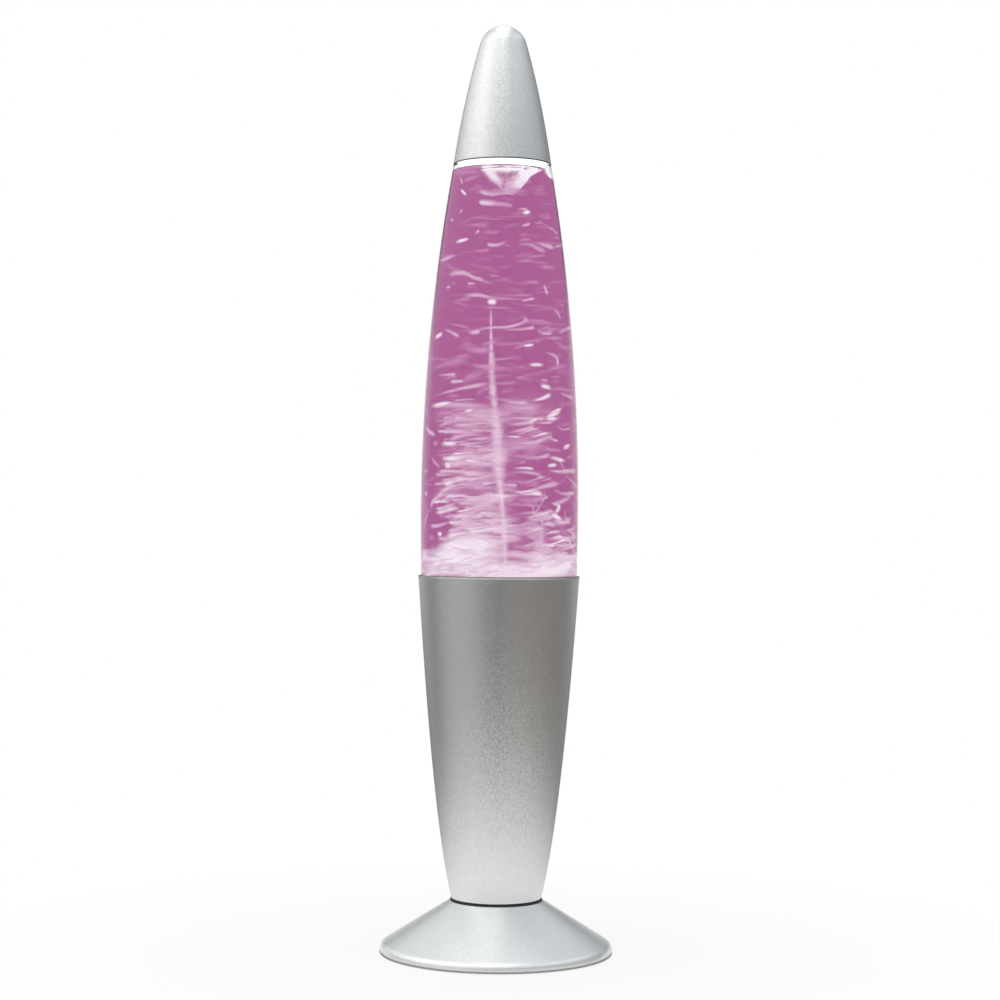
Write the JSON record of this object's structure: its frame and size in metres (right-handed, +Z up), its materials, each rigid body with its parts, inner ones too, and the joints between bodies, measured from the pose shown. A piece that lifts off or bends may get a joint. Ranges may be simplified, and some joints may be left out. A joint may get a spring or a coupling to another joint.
{
  "type": "tornado lamp",
  "caption": "Tornado lamp: a glass bottle of tinted swirling liquid stands in a silver cup on a flared foot under a rocket-shaped cap, and a magnetic stirrer driven from the cup spins it.",
  "frame": {"origin": "centre of the lamp's footprint on the table", "axes": "+Z up along the lamp's axis, -Y towards the front, +Y towards the switch and the cord's grommet"},
  "size_m": [0.1, 0.1, 0.4],
  "materials": {
    "silver": "satin silver lacquer with fine metal flake on spun sheet",
    "black_rubber": "matte black rubber",
    "grey_rubber": "matte dark grey foam rubber",
    "brass": "plain turned brass",
    "zinc_steel": "bright zinc plate",
    "motor_steel": "plain drawn steel",
    "nickel": "bright nickel plate",
    "black_plastic": "fine moulded grain",
    "dark_plastic": "plain moulded",
    "white_plastic": "plain moulded",
    "button_plastic": "smooth moulded",
    "green_board": "solder mask on glass laminate",
    "white_board": "white solder mask",
    "led_white": "moulded diode body",
    "frosted_lens": "frosted clear plastic",
    "clear_silicone": "translucent silicone",
    "red_wire": "smooth insulation",
    "white_wire": "smooth insulation",
    "black_wire": "smooth insulation",
    "clear_glass": "clear blown glass",
    "tinted_liquid": "clear magenta liquid with glitter",
    "glitter": "pale glitter drawn into streaks"
  },
  "bodies": {
    "base": {"foot": "silver", "cup": "silver", "neck_gasket": "black_rubber", "lamp_tube": "brass", "tube_nuts": "brass", "tube_washers": "zinc_steel", "base_cover": "black_plastic", "foot_pad": "grey_rubber", "control_board": "green_board", "board_parts": "dark_plastic", "board_screws": "zinc_steel", "cord_grommet": "black_rubber", "switch_body": "black_plastic", "switch_nut": "zinc_steel", "drive_chassis": "white_plastic", "motor_can": "motor_steel", "motor_end_bell": "dark_plastic", "motor_terminals": "brass", "motor_screws": "zinc_steel", "led_board": "white_board", "leds": "led_white", "light_lens": "frosted_lens", "seat_ring": "clear_silicone", "motor_leads": "red_wire", "led_leads": "white_wire", "switch_leads": "black_wire"},
    "drive_rotor": {"motor_shaft": "motor_steel", "magnet_carrier": "dark_plastic", "drive_magnets": "nickel"},
    "bottle": {"bottle": "clear_glass", "liquid": "tinted_liquid", "glitter_swirl": "glitter", "pivot_post": "motor_steel", "pivot_clip": "zinc_steel", "crown_liner": "clear_silicone", "crown_closure": "zinc_steel"},
    "stirrer": {"stirrer": "white_plastic", "stirrer_magnets": "nickel"},
    "cap": {"cap": "silver"},
    "switch_button": {"switch_button": "button_plastic"}
  },
  "joints": [
    {"name": "drive_spin", "type": "hinge", "parent": "base", "child": "drive_rotor", "pos_m": [0, 0, 0.088], "axis": [0, 0, 1], "continuous": true},
    {"name": "bottle_lift", "type": "slide", "parent": "base", "child": "bottle", "axis": [0, 0, 1], "range_m": [0, 0.08]},
    {"name": "stirrer_spin", "type": "hinge", "parent": "bottle", "child": "stirrer", "pos_m": [0, 0, 0.106], "axis": [0, 0, 1], "continuous": true},
    {"name": "cap_lift", "type": "slide", "parent": "bottle", "child": "cap", "axis": [0, 0, 1], "range_m": [0, 0.07]},
    {"name": "switch_press", "type": "slide", "parent": "base", "child": "switch_button", "axis": [-0.1999, -0.4948, -0.8457], "range_m": [0, 0.0025], "stiffness_N_per_m": 600, "springref_m": -0.001}
  ],
  "couplings": [
    {"joint": "stirrer_spin", "follows": "drive_spin", "ratio": 1}
  ]
}
